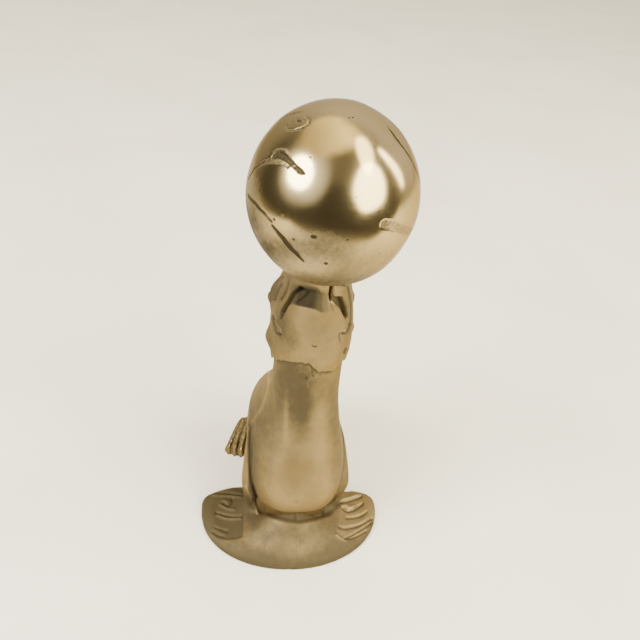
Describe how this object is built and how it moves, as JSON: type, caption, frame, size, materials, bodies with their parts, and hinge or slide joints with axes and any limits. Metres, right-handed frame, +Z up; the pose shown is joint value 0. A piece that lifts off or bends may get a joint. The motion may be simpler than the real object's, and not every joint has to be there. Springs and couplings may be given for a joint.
{
  "type": "seal figurine",
  "caption": "Hollow cast brass seal sitting upright on splayed flippers, nose up, balancing a polished ball that unscrews.",
  "frame": {"origin": "middle of the bounding box, on the plane it stands on", "axes": "+Z up; the seal faces -Y, so +X is its left side"},
  "size_m": [0.089, 0.0936, 0.2118],
  "materials": {
    "cast_brass": "hand-polished casting, darker in the recesses",
    "polished_brass": "mirror polish with casting pits and shallow grooves",
    "steel_stud": "plain turned rod"
  },
  "bodies": {
    "seal": {"body_left_half": "cast_brass", "body_right_half": "cast_brass", "head": "cast_brass", "fore_flipper_left": "cast_brass", "fore_flipper_right": "cast_brass", "hind_flipper_left": "cast_brass", "hind_flipper_right": "cast_brass"},
    "stud": {"ball_stud": "steel_stud"},
    "ball": {"ball_boss": "cast_brass", "ball_lower_half": "polished_brass", "ball_upper_half": "polished_brass"}
  },
  "joints": [
    {"name": "ball_turn", "type": "hinge", "parent": "seal", "child": "stud", "pos_m": [0, -0.0182, 0.1508], "axis": [0, 0, 1], "range_deg": [0, 2521]},
    {"name": "ball_climb", "type": "slide", "parent": "stud", "child": "ball", "axis": [0, 0, 1], "range_m": [0, 0.0056]}
  ],
  "couplings": [
    {"joint": "ball_turn", "follows": "ball_climb", "rad_per_m": 7854}
  ]
}
